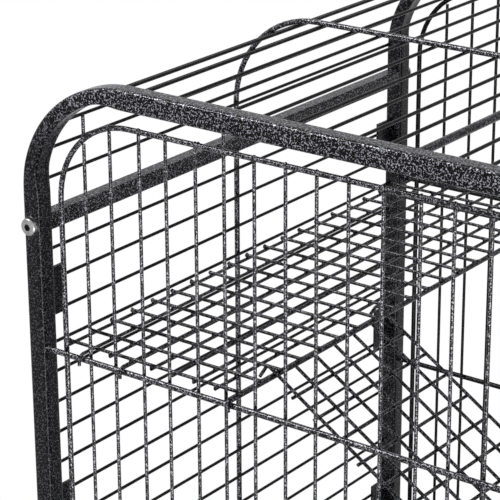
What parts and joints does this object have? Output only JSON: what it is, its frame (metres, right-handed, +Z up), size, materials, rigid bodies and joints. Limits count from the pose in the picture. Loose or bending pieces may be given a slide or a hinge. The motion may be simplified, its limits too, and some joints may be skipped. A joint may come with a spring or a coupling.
{
  "type": "bird cage on stand",
  "caption": "Wire bird cage on a rolling stand, with bent tube arches, wire platforms and ramps, a hinged front door, and a sliding grille and tray.",
  "frame": {"origin": "on the floor under the middle of the cage", "axes": "+Z up, front door towards -Y, +X to the right seen from the front"},
  "size_m": [0.633, 0.566, 1.2899],
  "materials": {
    "frame": "hammered silver-black powder coat",
    "wire": "hammered silver-black powder coat",
    "runner": "plain galvanised",
    "latch": "black powder coat",
    "zinc": "bright zinc plate",
    "tray": "textured",
    "socket": "moulded",
    "pedal": "moulded",
    "hub": "moulded",
    "tyre": "smooth rubber"
  },
  "bodies": {
    "cage": {"caster_sockets": "socket", "frame_bolts": "zinc", "front_arch": "frame", "front_base_rail": "frame", "front_left_leg": "frame", "front_right_leg": "frame", "front_stand_rail": "frame", "front_wire_panel": "wire", "latch_keeper": "latch", "left_base_rail": "frame", "left_stand_rail": "frame", "left_top_rail": "frame", "left_wire_panel": "wire", "leg_sleeves": "runner", "lower_platform": "wire", "middle_hoop": "wire", "panel_tabs": "frame", "rail_inserts": "zinc", "rear_arch": "frame", "rear_base_rail": "frame", "rear_left_leg": "frame", "rear_right_leg": "frame", "rear_stand_rail": "frame", "rear_wire_panel": "wire", "ridge_rod": "wire", "right_base_rail": "frame", "right_stand_rail": "frame", "right_top_rail": "frame", "right_wire_panel": "wire", "roof_wire_panel": "wire", "storage_shelf": "wire", "tray_runners": "runner", "upper_platform": "wire"},
    "tray": {"litter_tray": "tray"},
    "grille": {"floor_grille": "wire"},
    "door": {"front_door": "wire", "door_hinge_sleeves": "latch", "latch_plate": "latch"},
    "bolt": {"latch_bolt": "latch"},
    "upper_ramp": {"upper_ramp": "wire"},
    "lower_ramp": {"lower_ramp": "wire"},
    "front_left_caster": {"front_left_fork": "zinc", "front_left_axle": "zinc"},
    "front_left_wheel": {"front_left_hub": "hub", "front_left_tyre": "tyre"},
    "front_right_caster": {"front_right_fork": "zinc", "front_right_axle": "zinc"},
    "front_right_wheel": {"front_right_hub": "hub", "front_right_tyre": "tyre"},
    "rear_left_caster": {"rear_left_fork": "zinc", "rear_left_axle": "zinc"},
    "rear_left_wheel": {"rear_left_hub": "hub", "rear_left_tyre": "tyre"},
    "rear_right_caster": {"rear_right_fork": "zinc", "rear_right_axle": "zinc"},
    "rear_right_wheel": {"rear_right_hub": "hub", "rear_right_tyre": "tyre"},
    "front_left_pedal": {"front_left_brake": "pedal"},
    "front_right_pedal": {"front_right_brake": "pedal"}
  },
  "joints": [
    {"name": "tray_slide", "type": "slide", "parent": "cage", "child": "tray", "axis": [0, -1, 0], "range_m": [0, 0.4]},
    {"name": "grille_slide", "type": "slide", "parent": "cage", "child": "grille", "axis": [0, -1, 0], "range_m": [0, 0.4]},
    {"name": "door_hinge", "type": "hinge", "parent": "cage", "child": "door", "pos_m": [-0.1524, -0.2353, 0.745], "axis": [0, 0, -1], "range_deg": [0, 110]},
    {"name": "latch_slide", "type": "slide", "parent": "door", "child": "bolt", "axis": [1, 0, 0], "range_m": [0, 0.012]},
    {"name": "upper_ramp_lift", "type": "hinge", "parent": "cage", "child": "upper_ramp", "pos_m": [-0.1234, -0.1203, 1.08225], "axis": [0, -1, 0], "range_deg": [0, 60]},
    {"name": "lower_ramp_lift", "type": "hinge", "parent": "cage", "child": "lower_ramp", "pos_m": [0.1234, 0.1203, 0.90445], "axis": [0, 1, 0], "range_deg": [0, 60]},
    {"name": "front_left_swivel", "type": "hinge", "parent": "cage", "child": "front_left_caster", "pos_m": [-0.3, -0.236, 0.069], "axis": [0, 0, 1], "continuous": true},
    {"name": "front_left_spin", "type": "hinge", "parent": "front_left_caster", "child": "front_left_wheel", "pos_m": [-0.3, -0.258, 0.025], "axis": [1, 0, 0], "continuous": true},
    {"name": "front_right_swivel", "type": "hinge", "parent": "cage", "child": "front_right_caster", "pos_m": [0.3, -0.236, 0.069], "axis": [0, 0, 1], "continuous": true},
    {"name": "front_right_spin", "type": "hinge", "parent": "front_right_caster", "child": "front_right_wheel", "pos_m": [0.3, -0.258, 0.025], "axis": [1, 0, 0], "continuous": true},
    {"name": "rear_left_swivel", "type": "hinge", "parent": "cage", "child": "rear_left_caster", "pos_m": [-0.3, 0.236, 0.069], "axis": [0, 0, 1], "continuous": true},
    {"name": "rear_left_spin", "type": "hinge", "parent": "rear_left_caster", "child": "rear_left_wheel", "pos_m": [-0.3, 0.258, 0.025], "axis": [1, 0, 0], "continuous": true},
    {"name": "rear_right_swivel", "type": "hinge", "parent": "cage", "child": "rear_right_caster", "pos_m": [0.3, 0.236, 0.069], "axis": [0, 0, 1], "continuous": true},
    {"name": "rear_right_spin", "type": "hinge", "parent": "rear_right_caster", "child": "rear_right_wheel", "pos_m": [0.3, 0.258, 0.025], "axis": [1, 0, 0], "continuous": true},
    {"name": "front_left_brake_press", "type": "hinge", "parent": "front_left_caster", "child": "front_left_pedal", "pos_m": [-0.3, -0.245, 0.058], "axis": [1, 0, 0], "range_deg": [0, 18]},
    {"name": "front_right_brake_press", "type": "hinge", "parent": "front_right_caster", "child": "front_right_pedal", "pos_m": [0.3, -0.245, 0.058], "axis": [1, 0, 0], "range_deg": [0, 18]}
  ]
}
